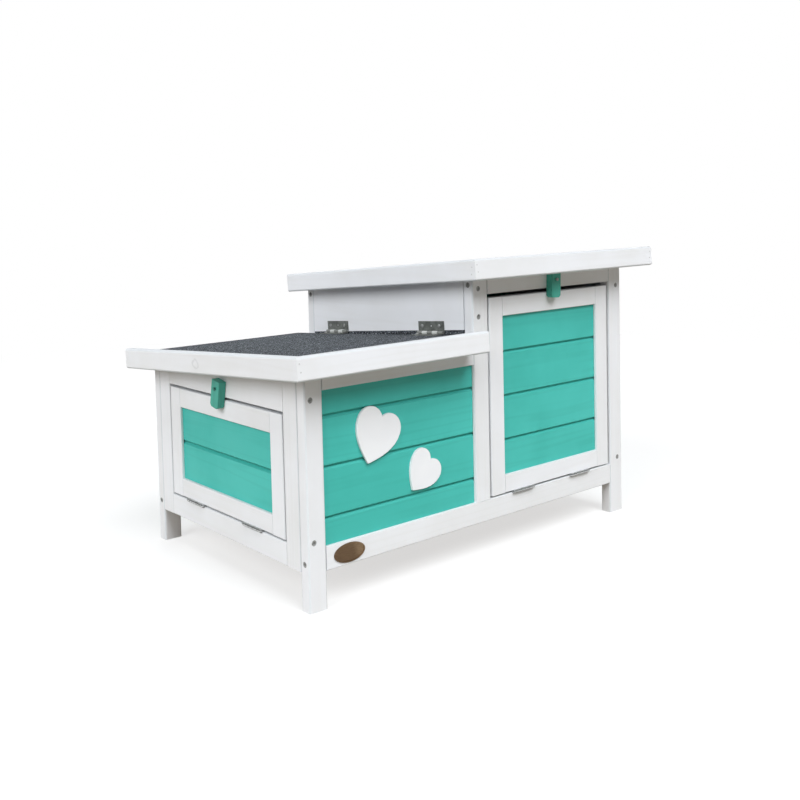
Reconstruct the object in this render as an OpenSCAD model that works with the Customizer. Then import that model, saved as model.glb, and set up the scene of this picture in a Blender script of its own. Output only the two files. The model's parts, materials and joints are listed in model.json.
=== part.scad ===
// A wooden rabbit house with a low room under a hinged lid and a tall room under a fixed roof.
// The origin is on the ground under the middle of the whole outline, the front faces -Y, and +Z is up.
// Inside the modules, x runs from the frame's left end, y from its front face and z from the ground.

/* [Overall] */
// Width of the frame over its posts
frame_w = 633; // [580:1:700]
// Depth of the frame over its posts
frame_d = 396; // [350:1:440]
// Height of the tall roof's front edge
tall_roof_z = 430; // [410:5:480]
// Height of the lid's front edge
lid_z = 330; // [300:5:340]
// Distance from the left end to the step wall
step_x = 294.5; // [270:0.5:320]
// Height of the feet below the bottom rails
leg_h = 49; // [35:1:65]

/* [Frame] */
// Width of the left posts
post_w = 28; // [24:1:36]
// Width of the centre and right posts
wide_post_w = 31; // [24:1:36]
// Thickness of the posts, rails and stiles
timber_t = 18; // [16:1:22]
// Width of the stiles in the two ends
end_stile_w = 30; // [24:1:40]
// Height of the bottom rails
bottom_rail_h = 31; // [26:1:40]
// Height of the top rails where they are lowest
top_rail_h = 30; // [24:1:36]
// Further height of the two rails over the doors
door_head_extra = 2; // [0:0.5:6]
// Radius on the long edges of posts and fascias
edge_r = 3; // [1:0.5:5]
// Chamfer on the long edges of rails and stiles
eased_edge = 0.8; // [0.4:0.1:2]

/* [Roofs] */
// Slope of the lid, down to the back
lid_slope = 4.1; // [3:0.1:5]
// Slope of the tall roof, down to the back
tall_slope = 4.7; // [3:0.1:6]
// Overhang of the lid at the left end
lid_left_overhang = 37; // [30:1:50]
// Overhang of the lid in front
lid_front_overhang = 38; // [30:1:50]
// Overhang of the lid at the back
lid_back_overhang = 20; // [10:1:40]
// Overhang of the tall roof beyond the step wall
tall_left_overhang = 28; // [20:1:30]
// Overhang of the tall roof at the right end
tall_right_overhang = 37; // [20:1:50]
// Overhang of the tall roof in front
tall_front_overhang = 33; // [30:1:50]
// Overhang of the tall roof at the back
tall_back_overhang = 20; // [10:1:40]
// Height of the fascia boards
fascia_h = 30; // [26:1:40]
// Thickness of the fascia boards
fascia_t = 12; // [9:1:15]
// Height of the fascias above the felt
fascia_proud = 7; // [3:0.5:10]
// Thickness of the roofing felt
felt_t = 2; // [1:0.5:4]
// Thickness of the roof boards
roof_board_t = 10; // [6:1:14]
// Gap between the lid and the step wall
lid_wall_gap = 8; // [1:0.5:9]
// Gap between the felt and the lower edge of the step wall in front
step_wall_front_gap = 7.5; // [2:0.5:10]
// Gap between the felt and the lower edge of the step wall at the back
step_wall_back_gap = 1.5; // [1:0.5:10]

/* [Planks] */
// Height of a whole plank between two joints
plank_h = 65; // [50:1:80]
// Thickness of the planks
plank_t = 10; // [8:1:11]
// Depth of the planks behind the face of the frame
plank_recess = 4; // [1:0.5:6]
// Depth of the grooves that hold the planks' edges
plank_tuck = 5; // [3:0.5:8]
// Width of the bevel along a plank's joint
plank_bevel = 3; // [1:0.5:3]
// Length of a plank's tongue
tongue_l = 4; // [2:0.5:6]
// Thickness of a plank's tongue
tongue_t = 3; // [2:0.5:4]
// Height of the lowest plank in the walls
wall_first_plank_h = 34; // [25:1:60]
// Height of the lowest plank in the tall door
tall_first_plank_h = 50; // [30:1:60]
// Height of the lowest plank in the left door
left_first_plank_h = 55; // [30:1:60]

/* [Doors] */
// Width of the doors' stiles
door_stile_w = 28.5; // [24:0.5:40]
// Height of the doors' top rails
door_top_rail_h = 28; // [24:0.5:40]
// Height of the doors' bottom rails
door_bottom_rail_h = 26.5; // [24:0.5:40]
// Gap at each side of the left door
left_door_side_gap = 2.5; // [2:0.5:5]
// Gap above the left door
left_door_top_gap = 3.5; // [2:0.5:5]
// Gap at the left side of the tall door
tall_door_left_gap = 2; // [2:0.5:5]
// Gap at the right side of the tall door
tall_door_right_gap = 5; // [2:0.5:6]
// Gap above the tall door
tall_door_top_gap = 6; // [2:0.5:6]

/* [Hinges] */
// Width of the two lid hinges
lid_hinge_w = 55; // [40:1:65]
// Length of a lid hinge's leaf beyond its barrel
lid_leaf_l = 14; // [10:1:20]
// Diameter of a lid hinge's barrel
lid_barrel_d = 5.5; // [4:0.5:7]
// Distance from the frame's front and back to the middle of a lid hinge
lid_hinge_inset = 85; // [60:1:120]
// Width of the door hinges
door_hinge_w = 45; // [36:1:60]
// Length of a door hinge's leaf beyond its barrel
door_leaf_l = 13; // [8:1:15]
// Diameter of a door hinge's barrel
door_barrel_d = 4.6; // [4:0.2:6]
// Distance between the left door's hinge middles
left_hinge_spacing = 151; // [110:1:180]
// Distance from the middle of the left door to the middle between its hinges, towards the back
left_hinge_shift = 2.5; // [-20:0.5:20]
// Distance between the tall door's hinge middles
tall_hinge_spacing = 130; // [100:1:180]
// Distance from the middle of the tall door to the middle between its hinges, towards the right
tall_hinge_shift = -4.5; // [-20:0.5:20]
// Thickness of the hinge leaves
leaf_t = 1; // [0.8:0.1:1.2]
// Gap between a door hinge's two leaves when shut
leaf_gap = 0.4; // [0.3:0.1:1]
// Diameter of the hinge pins
pin_d = 2.2; // [1.6:0.1:2.4]
// Clearance round a hinge pin
pin_clearance = 0.05; // [0.02:0.01:0.1]
// Number of knuckles in a hinge
knuckles = 5; // [3:2:7]

/* [Latches] */
// Width of a turn-button
latch_w = 20; // [14:1:24]
// Length of a turn-button
latch_l = 39; // [32:1:44]
// Thickness of a turn-button
latch_t = 11; // [8:1:14]
// Distance from a turn-button's top to its screw
latch_pivot_drop = 11.5; // [8:0.5:15]
// Height of the left turn-button's screw above its door
left_latch_rise = 16.5; // [12:0.5:18]
// Height of the tall door's turn-button's screw above its door
tall_latch_rise = 19; // [14:0.5:20]
// Distance of the left turn-button from the middle of its door, towards the front
left_latch_shift = 3; // [-10:1:10]
// Gap between a turn-button and the frame
latch_gap = 0.3; // [0.2:0.1:1]
// Cut corner at a turn-button's lower end
latch_chamfer = 3; // [1:0.5:6]
// Angle at which the left turn-button hangs askew
left_latch_turn = -11; // [-15:1:15]
// Angle at which the tall door's turn-button hangs askew
tall_latch_turn = 2; // [-15:1:15]

/* [Floor] */
// Thickness of the floor boards
floor_t = 9; // [6:1:12]
// Step from the bottom rails' top down to the floor
floor_drop = 4; // [1:1:8]
// Size of the bearers under the floor
bearer_s = 15; // [10:1:18]
// Number of floor boards
floor_board_n = 5; // [3:1:7]

/* [Trim] */
// Thickness of the hearts
heart_t = 3.5; // [3:0.5:10]
// Length of the large heart from its point to its cleft
large_heart_l = 64; // [40:1:80]
// Tilt of the large heart
large_heart_tilt = 24; // [0:1:60]
// Place of the large heart's point from the panel's left edge
large_heart_x = 71; // [60:1:90]
// Place of the large heart's point above the bottom rail
large_heart_z = 92; // [80:1:100]
// Length of the small heart from its point to its cleft
small_heart_l = 50; // [30:1:60]
// Tilt of the small heart
small_heart_tilt = 43; // [0:1:60]
// Place of the small heart's point from the panel's left edge
small_heart_x = 147; // [140:1:160]
// Place of the small heart's point above the bottom rail
small_heart_z = 42; // [30:1:60]
// Width of the oval plate
plate_w = 50; // [30:1:70]
// Height of the oval plate
plate_h = 25; // [15:1:26]
// Thickness of the oval plate
plate_t = 1.2; // [0.8:0.1:2]
// Width of the oval plate's raised rim
plate_rim_w = 1.5; // [1:0.5:3]
// Distance from the left post to the middle of the oval plate
plate_x = 36; // [36:1:80]

/* [Screws] */
// Diameter of a frame screw's shank
screw_d = 3.6; // [3:0.2:4.6]
// Diameter of a frame screw's head
screw_head_d = 7.5; // [5:0.5:9]
// Depth of a frame screw's head below the face
screw_sink = 0.5; // [0.2:0.1:2]
// Thickness of a turn-button screw's head
latch_screw_head_t = 2; // [1:0.5:3]
// Length of a frame screw
screw_l = 38; // [30:1:44]
// Diameter of a hinge screw's shank
small_screw_d = 2.6; // [2:0.2:3]
// Diameter of a hinge screw's head
small_screw_head_d = 4.6; // [4:0.2:6]
// Length of a hinge screw below its head
small_screw_l = 8; // [6:1:9]
// Clearance round a screw in its hole
screw_clearance = 0.1; // [0.05:0.05:0.3]

/* [Hidden] */

$fn = 32;
WHITE = [0.90, 0.91, 0.92];
TEAL = [0.30, 0.70, 0.64];
TEAL_DARK = [0.16, 0.52, 0.46];
FELT = [0.30, 0.32, 0.35];
ZINC = [0.62, 0.63, 0.62];
BRONZE = [0.42, 0.35, 0.26];
WOOD = [0.80, 0.70, 0.54];

// Clearance of planks in their grooves, of tongues in theirs and between neighbouring floor boards
groove_clearance = 0.3;
// Gap at which the lid stands over the frame, and the tall roof over its own
lid_seat_gap = 0.5;
roof_seat_gap = 0.2;
// Gap between neighbouring knuckles, and between a leaf and the other leaf's knuckles
knuckle_gap = 0.3;
// Gap between a barrel and the surfaces that it turns beside
barrel_gap = 0.3;
// Length that is longer than any timber
far = 1000;

// Heights of the frame screws: the low ones above the bottom rails' lower edge, the others below the roofs
low_screw_z = 39.5;
rail_end_screw_z = 12;
lid_post_screw_drop = 40;
centre_screw_drops = [23, 63];
right_post_screw_drop = 39;
rail_end_screw_drop = 17.5;
// Distance of the screws in a wide post from the post's left side in the centre, from its right at the end
wide_post_screw_inset = 12;

// The roofs are laid out flat, from their own front left corner, and then tilted
lid_w = lid_left_overhang + step_x - lid_wall_gap;
lid_depth = (frame_d + lid_front_overhang + lid_back_overhang) / cos(lid_slope);
tall_w = tall_left_overhang + frame_w - step_x + tall_right_overhang;
tall_depth = (frame_d + tall_front_overhang + tall_back_overhang) / cos(tall_slope);
roof_build = fascia_proud + felt_t + roof_board_t;

// Height of the space under each roof at a distance y behind the front face
function lid_under(y) =
    lid_z - (y + lid_front_overhang) * tan(lid_slope) - (roof_build + lid_seat_gap) / cos(lid_slope);
function tall_under(y) =
    tall_roof_z - (y + tall_front_overhang) * tan(tall_slope)
    - (roof_build + roof_seat_gap) / cos(tall_slope);

// The outline's reach beyond the frame, with the fascias tilted and their edges rounded
function front_reach(overhang, slope) =
    overhang + (fascia_h - edge_r) * sin(slope) + edge_r * (1 - cos(slope));
outline_front =
    max(front_reach(lid_front_overhang, lid_slope), front_reach(tall_front_overhang, tall_slope));
outline_back = max(lid_back_overhang, tall_back_overhang);
left_x = (lid_left_overhang - frame_w - tall_right_overhang) / 2;
front_y = (outline_front - frame_d - outline_back) / 2;

// Heights and widths that several pieces share
rail_top_z = leg_h + bottom_rail_h;
post_2_x = step_x + wide_post_w;
post_3_x = frame_w - wide_post_w;
door_gap = 2 * leaf_t + leaf_gap;
door_z = rail_top_z + door_gap;
low_panel_top = lid_under(0) - top_rail_h;
low_back_top = lid_under(frame_d) - top_rail_h;
tall_back_top = tall_under(frame_d) - top_rail_h;
end_y = timber_t + end_stile_w;
tall_door_head_z = tall_under(0) - top_rail_h - door_head_extra;
left_door_head_z = low_back_top - door_head_extra;
tall_door_x = post_2_x + tall_door_left_gap;
tall_door_w = post_3_x - tall_door_right_gap - tall_door_x;
tall_door_h = tall_door_head_z - tall_door_top_gap - door_z;
left_door_y = end_y + left_door_side_gap;
left_door_w = frame_d - 2 * left_door_y;
left_door_h = left_door_head_z - left_door_top_gap - door_z;
floor_z = rail_top_z - floor_drop - floor_t;
pin_hole_d = pin_d + 2 * pin_clearance;
// The door hinges' barrels stand so far in front that they clear both edges of the gap
door_barrel_y = -sqrt(pow(door_barrel_d / 2 + barrel_gap, 2) - pow(door_gap / 2, 2));
door_barrel_z = rail_top_z + door_gap / 2;
// Distance from the lid hinges' axis to the felt and to the step wall
lid_barrel_seat = lid_barrel_d / 2 + barrel_gap;

// Puts the frame's own coordinates into the part's
module place() translate([left_x, front_y, 0]) children();

// Turns what is drawn on the front face onto the back, the left end or the right end
module on_back() translate([0, frame_d, 0]) mirror([0, 1, 0]) children();
module on_left_end() mirror([1, -1, 0]) children();
module on_right_end() translate([frame_w, 0, 0]) rotate([0, 0, 90]) children();

// Tilts what is drawn flat, with z = 0 at the top of the fascias
module tilt_lid() translate([0, -lid_front_overhang, lid_z]) rotate([-lid_slope, 0, 0]) children();
module tilt_tall() translate([0, -tall_front_overhang, tall_roof_z]) rotate([-tall_slope, 0, 0]) children();

// Cuts away what reaches into the lid or into the tall roof
module below_lid() difference() {
    children();
    tilt_lid() translate([-far / 2, -far / 2, -roof_build - lid_seat_gap]) cube([2 * far, 2 * far, far]);
}
module below_tall() difference() {
    children();
    tilt_tall() translate([-far / 2, -far / 2, -roof_build - roof_seat_gap]) cube([2 * far, 2 * far, far]);
}

// A bar with its long edges eased; they run along x, y or z
module eased_outline(w, h) {
    e = eased_edge;
    polygon([[e, 0], [w - e, 0], [w, e], [w, h - e], [w - e, h], [e, h], [0, h - e], [0, e]]);
}
module bar_x(size) rotate([90, 0, 90]) linear_extrude(size.x) eased_outline(size.y, size.z);
module bar_y(size) translate([0, size.y, 0]) rotate([90, 0, 0]) linear_extrude(size.y)
    eased_outline(size.x, size.z);
module bar_z(size) linear_extrude(size.z) eased_outline(size.x, size.y);

// A bar with its four upright edges rounded
module round_bar(size) {
    translate([edge_r, 0, 0]) cube([size.x - 2 * edge_r, size.y, size.z]);
    translate([0, edge_r, 0]) cube([size.x, size.y - 2 * edge_r, size.z]);
    for (x = [edge_r, size.x - edge_r], y = [edge_r, size.y - edge_r])
        translate([x, y, 0]) cylinder(r = edge_r, h = size.z);
}

// Countersunk screw, its head's face at z = 0 and its point below
module frame_screw(grow = 0) {
    head = screw_head_d / 2 + grow;
    shank = screw_d / 2 + grow;
    translate([0, 0, shank - head]) cylinder(r1 = shank, r2 = head, h = head - shank);
    translate([0, 0, -screw_l - grow]) cylinder(r = shank, h = screw_l + grow);
}

// Hole for a frame screw and for its sunken head, from the timber's face at z = 0
module frame_screw_hole() {
    translate([0, 0, -screw_sink]) frame_screw(screw_clearance);
    translate([0, 0, -screw_sink]) cylinder(r = screw_head_d / 2 + screw_clearance, h = screw_sink + 1);
}

// Every frame screw's place, with +z pointing out of the timber
module at_frame_screws() {
    low = leg_h + low_screw_z;
    mid = timber_t / 2;
    centre = step_x + wide_post_screw_inset;
    right = frame_w - wide_post_screw_inset;
    for (side = [0, 1]) {
        y = side * frame_d;
        for (p = [[mid, low], [mid, lid_under(y) - lid_post_screw_drop],
                [centre, tall_under(y) - centre_screw_drops[0]],
                [centre, tall_under(y) - centre_screw_drops[1]],
                [right, tall_under(y) - right_post_screw_drop], [right, low]])
            translate([p.x, y, p.y]) rotate([side == 0 ? 90 : -90, 0, 0]) children();
        side_y = side == 0 ? mid : frame_d - mid;
        for (p = [[0, leg_h + rail_end_screw_z], [step_x, tall_under(y) - rail_end_screw_drop]])
            translate([p.x, side_y, p.y]) rotate([0, -90, 0]) children();
        for (z = [leg_h + rail_end_screw_z, tall_under(y) - rail_end_screw_drop])
            translate([frame_w, side_y, z]) rotate([0, 90, 0]) children();
    }
}

// The space that a panel of planks takes with its edges in their grooves
module panel_space(w, h) {
    grip = plank_tuck + groove_clearance;
    translate([-grip, plank_recess - groove_clearance, -grip])
        cube([w + 2 * grip, plank_t + 2 * groove_clearance, h + 2 * grip]);
}

// Places of the four fixed panels: each child is drawn from the panel's lower left corner
module at_front_panel() translate([post_w, 0, rail_top_z]) children();
module at_back_low_panel() on_back() at_front_panel() children();
module at_back_tall_panel() on_back() translate([post_2_x, 0, rail_top_z]) children();
module at_right_end_panel() on_right_end() translate([end_y, 0, rail_top_z]) children();
low_panel_w = step_x - post_w;
tall_panel_w = post_3_x - post_2_x;
end_panel_w = frame_d - 2 * end_y;

// What the frame's timbers have cut out of them
module frame_cuts() {
    at_front_panel() panel_space(low_panel_w, low_panel_top - rail_top_z);
    at_back_low_panel() panel_space(low_panel_w, low_back_top - rail_top_z);
    at_back_tall_panel() panel_space(tall_panel_w, tall_back_top - rail_top_z);
    at_right_end_panel() panel_space(end_panel_w, tall_back_top - rail_top_z);
    at_frame_screws() frame_screw_hole();
    at_latch_screws() latch_screw(screw_clearance);
}

// Timbers of the frame between two corners, with the grooves and holes cut
module rail_x(low, high) difference() {
    translate(low) bar_x(high - low);
    frame_cuts();
}
module rail_y(low, high) difference() {
    translate(low) bar_y(high - low);
    frame_cuts();
}
module stile(low, high) difference() {
    translate(low) bar_z(high - low);
    frame_cuts();
}

// A post w wide, from x and z, on the front face or on the back
module post(x, z, w) difference() {
    translate([x, 0, z]) round_bar([w, timber_t, far / 2]);
    frame_cuts();
}
module back_post(x, z, w) difference() {
    on_back() translate([x, 0, z]) round_bar([w, timber_t, far / 2]);
    frame_cuts();
}

module front_left_post() color(WHITE) place() below_lid() post(0, 0, post_w);
module front_centre_post() color(WHITE) place() below_tall() post(step_x, rail_top_z, wide_post_w);
module front_right_post() color(WHITE) place() below_tall() post(post_3_x, 0, wide_post_w);
module back_left_post() color(WHITE) place() below_lid() back_post(0, 0, post_w);
module back_centre_post() color(WHITE) place() below_tall() back_post(step_x, rail_top_z, wide_post_w);
module back_right_post() color(WHITE) place() below_tall() back_post(post_3_x, 0, wide_post_w);

module front_bottom_rail() color(WHITE) place()
    rail_x([post_w, 0, leg_h], [post_3_x, timber_t, rail_top_z]);
module back_bottom_rail() color(WHITE) place()
    rail_x([post_w, frame_d - timber_t, leg_h], [post_3_x, frame_d, rail_top_z]);
module front_low_top_rail() color(WHITE) place() below_lid()
    rail_x([post_w, 0, low_panel_top], [step_x, timber_t, far / 2]);
module back_low_top_rail() color(WHITE) place() below_lid()
    rail_x([post_w, frame_d - timber_t, low_back_top], [step_x, frame_d, far / 2]);
module front_tall_top_rail() color(WHITE) place() below_tall()
    rail_x([post_2_x, 0, tall_door_head_z], [post_3_x, timber_t, far / 2]);
module back_tall_top_rail() color(WHITE) place() below_tall()
    rail_x([post_2_x, frame_d - timber_t, tall_back_top], [post_3_x, frame_d, far / 2]);

// Both stiles of an end, from x to x plus the timber's thickness
module end_stiles(x) for (y = [timber_t, frame_d - end_y])
    stile([x, y, leg_h], [x + timber_t, y + end_stile_w, far / 2]);

module left_end_stiles() color(WHITE) place() below_lid() end_stiles(0);
module left_end_bottom_rail() color(WHITE) place()
    rail_y([0, end_y, leg_h], [timber_t, frame_d - end_y, rail_top_z]);
module left_end_top_rail() color(WHITE) place() below_lid()
    rail_y([0, end_y, left_door_head_z], [timber_t, frame_d - end_y, far / 2]);
module right_end_stiles() color(WHITE) place() below_tall() end_stiles(frame_w - timber_t);
module right_end_bottom_rail() color(WHITE) place()
    rail_y([frame_w - timber_t, end_y, leg_h], [frame_w, frame_d - end_y, rail_top_z]);
module right_end_top_rail() color(WHITE) place() below_tall()
    rail_y([frame_w - timber_t, end_y, tall_back_top], [frame_w, frame_d - end_y, far / 2]);

// The beam that carries the lid's hinged end, between the front and back top rails
module middle_beam() color(WHITE) place() below_lid()
    rail_y([step_x - timber_t, timber_t, low_back_top], [step_x, frame_d - timber_t, far / 2]);

// The plain wall above the lid, which stands between the centre posts; its lower edge slopes by itself
step_wall_slope = atan((step_wall_front_gap - step_wall_back_gap) / frame_d);
module step_wall() color(WHITE) place() below_tall() difference() {
    rail_y([step_x, timber_t, low_back_top], [step_x + timber_t, frame_d - timber_t, far / 2]);
    tilt_lid() {
        translate([0, lid_front_overhang, step_wall_front_gap - fascia_proud])
            rotate([-step_wall_slope, 0, 0]) translate([0, -far / 2, -far]) cube([far, 2 * far, far]);
        at_lid_hinges() at_wall_leaf_screws() small_screw(screw_clearance);
    }
}

// Outline of one plank from z = a to b: bevels, groove and tongue only where it meets another plank
module plank_outline(a, b, joint_below, joint_above) {
    mid = (plank_bevel + plank_t) / 2;
    near = mid - tongue_t / 2;
    rear = mid + tongue_t / 2;
    c = groove_clearance;
    lower = joint_below
        ? [[plank_t, a], [rear + c, a], [rear + c, a + tongue_l + c], [near - c, a + tongue_l + c],
            [near - c, a], [plank_bevel, a], [0, a + plank_bevel]]
        : [[plank_t, a], [0, a]];
    upper = joint_above
        ? [[0, b - c - plank_bevel], [plank_bevel, b - c], [near, b - c], [near, b - c + tongue_l],
            [rear, b - c + tongue_l], [rear, b - c], [plank_t, b - c]]
        : [[0, b], [plank_t, b]];
    polygon(concat(lower, upper));
}

// A panel of planks w wide and h high in sight, with its edges in the grooves round it
module planks(w, h, first_h) translate([0, plank_recess, 0]) {
    least_h = 2 * plank_bevel + tongue_l;
    joints = [for (z = first_h; z < h - least_h; z = z + plank_h) z];
    n = len(joints);
    for (i = [0:n])
        translate([-plank_tuck, 0, 0]) rotate([90, 0, 90]) linear_extrude(w + 2 * plank_tuck)
            plank_outline(i == 0 ? -plank_tuck : joints[i - 1], i == n ? h + plank_tuck : joints[i],
                i > 0, i < n);
}

module front_planks() color(TEAL) place() at_front_panel()
    planks(low_panel_w, low_panel_top - rail_top_z, wall_first_plank_h);
module back_low_planks() color(TEAL) place() at_back_low_panel()
    planks(low_panel_w, low_back_top - rail_top_z, wall_first_plank_h);
module back_tall_planks() color(TEAL) place() at_back_tall_panel()
    planks(tall_panel_w, tall_back_top - rail_top_z, wall_first_plank_h);
module right_end_planks() color(TEAL) place() at_right_end_panel()
    planks(end_panel_w, tall_back_top - rail_top_z, wall_first_plank_h);

// Floor boards along the house, on bearers across it
module floor_boards() color(WOOD) place() {
    inside_d = frame_d - 2 * timber_t;
    pitch = inside_d / floor_board_n;
    for (i = [0:floor_board_n - 1])
        translate([timber_t, timber_t + i * pitch + groove_clearance / 2, floor_z])
            cube([frame_w - 2 * timber_t, pitch - groove_clearance, floor_t]);
}
module floor_bearers() color(WOOD) place()
    for (x = [post_w, (frame_w - bearer_s) / 2, post_3_x - bearer_s])
        translate([x, timber_t, floor_z - bearer_s]) cube([bearer_s, frame_d - 2 * timber_t, bearer_s]);

// Points on an arc, for the rounded outlines
function arc(centre, r, from, to, n = 6) =
    [for (i = [0:n]) centre + r * [cos(from + (to - from) * i / n), sin(from + (to - from) * i / n)]];

// A fascia h high along x, its outer face at y = 0 and its top at z = 0, mitred where asked
module fascia(length, h, mitre_start, mitre_end) intersection() {
    rotate([90, 0, 90]) linear_extrude(length) polygon(concat(
        [[fascia_t, -h], [fascia_t, 0]],
        arc([edge_r, -edge_r], edge_r, 90, 180),
        arc([edge_r, edge_r - h], edge_r, 180, 270)));
    translate([0, 0, -h - 1]) linear_extrude(h + 2) polygon([[0, 0], [length, 0],
        [length - (mitre_end ? fascia_t : 0), fascia_t], [mitre_start ? fascia_t : 0, fascia_t]]);
}

// A back fascia at a roof's back edge, from x0 to x1, under the felt that runs over it
module back_fascia(x0, x1, depth) {
    drop = fascia_proud + felt_t;
    translate([x0, depth, -drop]) mirror([0, 1, 0]) fascia(x1 - x0, fascia_h - drop, false, false);
}

// A flat layer of a roof from the front fascia to y, from top to top + t below the fascias' upper edges
module layer(x0, x1, y, top, t)
    translate([x0, fascia_t, -top - t]) cube([x1 - x0, y - fascia_t, t]);

module flat_lid() translate([-lid_left_overhang, 0, 0]) children();
module lid_board() color(WHITE) place() tilt_lid() difference() {
    flat_lid() layer(fascia_t, lid_w, lid_depth - fascia_t, fascia_proud + felt_t, roof_board_t);
    at_lid_hinges() at_lid_leaf_screws() small_screw(screw_clearance);
}
module lid_felt() color(FELT) place() tilt_lid() difference() {
    flat_lid() layer(fascia_t, lid_w, lid_depth, fascia_proud, felt_t);
    at_lid_hinges() at_lid_leaf_screws() small_screw(screw_clearance);
}
module lid_front_fascia() color(WHITE) place() tilt_lid() flat_lid() fascia(lid_w, fascia_h, true, false);
module lid_left_fascia() color(WHITE) place() tilt_lid() flat_lid()
    mirror([1, -1, 0]) fascia(lid_depth, fascia_h, true, false);
module lid_back_fascia() color(WHITE) place() tilt_lid() flat_lid()
    back_fascia(fascia_t, lid_w, lid_depth);

module flat_tall() translate([step_x - tall_left_overhang, 0, 0]) children();
module tall_roof_board() color(WHITE) place() tilt_tall() flat_tall()
    layer(fascia_t, tall_w - fascia_t, tall_depth - fascia_t, fascia_proud + felt_t, roof_board_t);
module tall_roof_felt() color(FELT) place() tilt_tall() flat_tall()
    layer(fascia_t, tall_w - fascia_t, tall_depth, fascia_proud, felt_t);
module tall_front_fascia() color(WHITE) place() tilt_tall() flat_tall()
    fascia(tall_w, fascia_h, true, true);
module tall_back_fascia() color(WHITE) place() tilt_tall() flat_tall()
    back_fascia(fascia_t, tall_w - fascia_t, tall_depth);
module tall_left_fascia() color(WHITE) place() tilt_tall() flat_tall()
    mirror([1, -1, 0]) fascia(tall_depth, fascia_h, true, false);
module tall_right_fascia() color(WHITE) place() tilt_tall() flat_tall()
    translate([tall_w, 0, 0]) rotate([0, 0, 90]) fascia(tall_depth, fascia_h, true, false);

// The parts of a door w wide and h high, its outer face at y = 0
function door_panel_w(w) = w - 2 * door_stile_w;
function door_panel_h(h) = h - door_bottom_rail_h - door_top_rail_h;
module at_door_panel() translate([door_stile_w, 0, door_bottom_rail_h]) children();
module door_cuts(w, h) at_door_panel() panel_space(door_panel_w(w), door_panel_h(h));
module door_stiles(w, h) difference() {
    for (x = [0, w - door_stile_w]) translate([x, 0, 0]) bar_z([door_stile_w, timber_t, h]);
    door_cuts(w, h);
}
module door_top_rail(w, h) difference() {
    translate([door_stile_w, 0, h - door_top_rail_h]) bar_x([door_panel_w(w), timber_t, door_top_rail_h]);
    door_cuts(w, h);
}
module door_bottom_rail(w, h) difference() {
    translate([door_stile_w, 0, 0]) bar_x([door_panel_w(w), timber_t, door_bottom_rail_h]);
    door_cuts(w, h);
}
module door_planks(w, h, first_h) at_door_panel() planks(door_panel_w(w), door_panel_h(h), first_h);

module at_left_door() on_left_end() translate([left_door_y, 0, door_z]) children();
module at_tall_door() translate([tall_door_x, 0, door_z]) children();

module left_door_stiles() color(WHITE) place() at_left_door() door_stiles(left_door_w, left_door_h);
module left_door_top_rail() color(WHITE) place() at_left_door() door_top_rail(left_door_w, left_door_h);
module left_door_bottom_rail() color(WHITE) place() at_left_door()
    door_bottom_rail(left_door_w, left_door_h);
module left_door_planks() color(TEAL) place() at_left_door()
    door_planks(left_door_w, left_door_h, left_first_plank_h);
module tall_door_stiles() color(WHITE) place() at_tall_door() door_stiles(tall_door_w, tall_door_h);
module tall_door_top_rail() color(WHITE) place() at_tall_door() door_top_rail(tall_door_w, tall_door_h);
module tall_door_bottom_rail() color(WHITE) place() at_tall_door()
    door_bottom_rail(tall_door_w, tall_door_h);
module tall_door_planks() color(TEAL) place() at_tall_door()
    door_planks(tall_door_w, tall_door_h, tall_first_plank_h);

// Half of a butt hinge along x, with its axis on y = z = 0: every second knuckle from the first, and a
// leaf that starts behind the barrel, its lower face at z
module leaf(w, l, barrel_d, z, first, holes) {
    r = barrel_d / 2;
    step = w / knuckles;
    difference() {
        union() {
            translate([0, r + knuckle_gap, z]) cube([w, l - knuckle_gap, leaf_t]);
            for (i = [first:2:knuckles - 1]) translate([i * step + knuckle_gap / 2, 0, 0]) {
                translate([0, 0, z]) cube([step - knuckle_gap, r + knuckle_gap + 1, leaf_t]);
                rotate([0, 90, 0]) cylinder(r = r, h = step - knuckle_gap);
            }
        }
        translate([-1, 0, 0]) rotate([0, 90, 0]) cylinder(d = pin_hole_d, h = w + 2);
        if (holes) at_leaf_holes(w, l, barrel_d) translate([0, 0, z - 1])
            cylinder(d = small_screw_d + 2 * screw_clearance, h = leaf_t + 2);
    }
}

// The three holes in a leaf, of which the outer two hold screws
module at_leaf_holes(w, l, barrel_d, which = [0, 1, 2])
    for (i = which) translate([w * (1 + 2 * i) / 6, barrel_d / 2 + l / 2, 0]) children();

// Pan-headed screw on a leaf's face at z = 0
module small_screw(grow = 0) {
    cylinder(r = small_screw_head_d / 2 + grow, h = leaf_t);
    translate([0, 0, -small_screw_l - grow])
        cylinder(r = small_screw_d / 2 + grow, h = small_screw_l + leaf_t);
}

// The two lid hinges, drawn along x from the axis, and what lies on their leaves
module at_lid_hinges() for (y = [lid_hinge_inset, frame_d - lid_hinge_inset])
    translate([step_x - lid_barrel_seat, (y + lid_front_overhang) / cos(lid_slope) - lid_hinge_w / 2,
        lid_barrel_seat - fascia_proud]) children();
module at_lid_leaf() rotate([0, 0, 90]) children();
module at_wall_leaf() rotate([90, 0, 90]) children();
module at_lid_leaf_screws() at_lid_leaf()
    at_leaf_holes(lid_hinge_w, lid_leaf_l, lid_barrel_d, [0, 2])
    translate([0, 0, leaf_t - lid_barrel_seat]) children();
module at_wall_leaf_screws() at_wall_leaf()
    at_leaf_holes(lid_hinge_w, lid_leaf_l, lid_barrel_d, [0, 2])
    translate([0, 0, lid_barrel_seat - leaf_t]) mirror([0, 0, 1]) children();

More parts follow.
